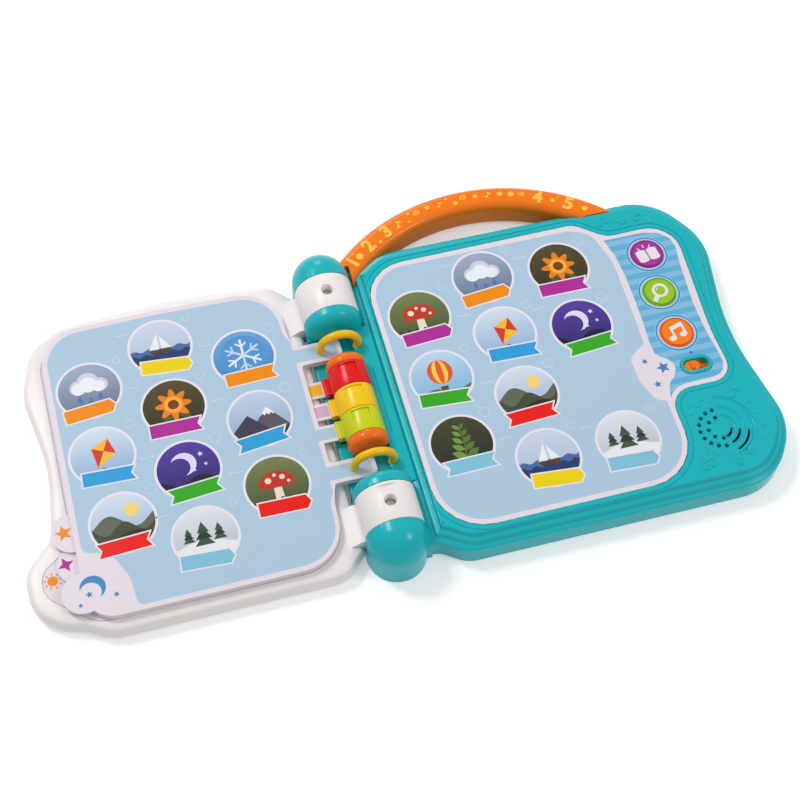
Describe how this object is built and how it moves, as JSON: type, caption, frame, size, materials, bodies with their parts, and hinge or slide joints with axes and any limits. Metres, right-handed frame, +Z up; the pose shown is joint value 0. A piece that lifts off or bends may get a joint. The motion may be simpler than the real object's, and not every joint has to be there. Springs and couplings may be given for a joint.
{
  "type": "electronic sound book",
  "caption": "Electronic sound book lying open: a teal sound box with touch sheet, buttons and carry handle, a white hinged cover and stiff pages on binder rings.",
  "frame": {"origin": "on the table, under the middle of the spine", "axes": "+X right across the open spread to the sound box, +Y along the spine towards the carry handle, +Z up from the table"},
  "size_m": [0.4492, 0.2458, 0.036],
  "materials": {
    "teal_shell": "satin-gloss moulded teal plastic",
    "white_shell": "satin moulded white plastic",
    "orange_plastic": "satin moulded orange plastic",
    "red_plastic": "glossy red plastic",
    "yellow_plastic": "glossy yellow plastic",
    "lime_plastic": "glossy lime plastic",
    "ring_plastic": "glossy warm yellow plastic",
    "page_board": "stiff printed page with a clear satin film",
    "overlay_sheet": "printed plastic sheet, satin",
    "cover_sheet": "printed plastic sheet, satin, pale",
    "film": "clear touch film with printed tracks",
    "purple_button": "glossy purple plastic",
    "green_button": "glossy green plastic",
    "orange_button": "glossy orange plastic",
    "steel": "zinc-plated steel",
    "board": "green solder mask on glass fibre board",
    "black_plastic": "matt black plastic",
    "cell": "plain printed steel can"
  },
  "bodies": {
    "base": {"base_top_shell": "teal_shell", "base_bottom_plate": "teal_shell", "battery_door": "teal_shell", "carry_handle": "orange_plastic", "base_printed_sheet": "overlay_sheet", "touch_film": "film", "button_switch_1": "black_plastic", "button_switch_2": "black_plastic", "button_switch_3": "black_plastic", "language_switch": "steel", "circuit_board": "board", "speaker_driver": "black_plastic", "speaker_magnet": "steel", "battery_cell_1": "cell", "battery_cell_2": "cell", "battery_contact_a": "steel", "battery_contact_b": "steel", "battery_door_screw": "steel", "hinge_pin_top": "steel", "hinge_pin_bottom": "steel", "binder_ring_top": "ring_plastic", "binder_ring_bottom": "ring_plastic", "roller_spindle": "steel", "roller_cap_top": "orange_plastic", "roller_cap_bottom": "orange_plastic", "case_screw_1": "steel", "case_screw_2": "steel", "case_screw_3": "steel", "case_screw_4": "steel", "case_screw_5": "steel", "case_screw_6": "steel"},
    "cover": {"cover_shell": "white_shell", "cover_front_plate": "white_shell", "cover_printed_sheet": "cover_sheet", "knuckle_screw_top": "steel", "knuckle_screw_bottom": "steel"},
    "leaf_one": {"page_one": "page_board", "page_ring_one": "red_plastic"},
    "leaf_two": {"page_two": "page_board", "page_ring_two": "yellow_plastic"},
    "leaf_three": {"page_three": "page_board", "page_ring_three": "lime_plastic"},
    "button_pages": {"mode_button_pages": "purple_button"},
    "button_search": {"mode_button_search": "green_button"},
    "button_music": {"mode_button_music": "orange_button"},
    "knob": {"language_knob": "orange_plastic"}
  },
  "joints": [
    {"name": "cover_hinge", "type": "hinge", "parent": "base", "child": "cover", "pos_m": [0, 0, 0.0185], "axis": [0, 1, 0], "range_deg": [0, 180]},
    {"name": "page_one_turn", "type": "hinge", "parent": "cover", "child": "leaf_one", "pos_m": [0, 0, 0.0185], "axis": [0, 1, 0], "range_deg": [0, 180]},
    {"name": "page_two_turn", "type": "hinge", "parent": "leaf_one", "child": "leaf_two", "pos_m": [0, 0, 0.0185], "axis": [0, 1, 0], "range_deg": [0, 180]},
    {"name": "page_three_turn", "type": "hinge", "parent": "leaf_two", "child": "leaf_three", "pos_m": [0, 0, 0.0185], "axis": [0, 1, 0], "range_deg": [0, 180]},
    {"name": "pages_button_press", "type": "slide", "parent": "base", "child": "button_pages", "axis": [0, 0, -1], "range_m": [0, 0.001], "stiffness_N_per_m": 300, "springref_m": -0.0005},
    {"name": "search_button_press", "type": "slide", "parent": "base", "child": "button_search", "axis": [0, 0, -1], "range_m": [0, 0.001], "stiffness_N_per_m": 300, "springref_m": -0.0005},
    {"name": "music_button_press", "type": "slide", "parent": "base", "child": "button_music", "axis": [0, 0, -1], "range_m": [0, 0.001], "stiffness_N_per_m": 300, "springref_m": -0.0005},
    {"name": "language_slide", "type": "slide", "parent": "base", "child": "knob", "axis": [1, 0, 0], "range_m": [0, 0.005]}
  ]
}
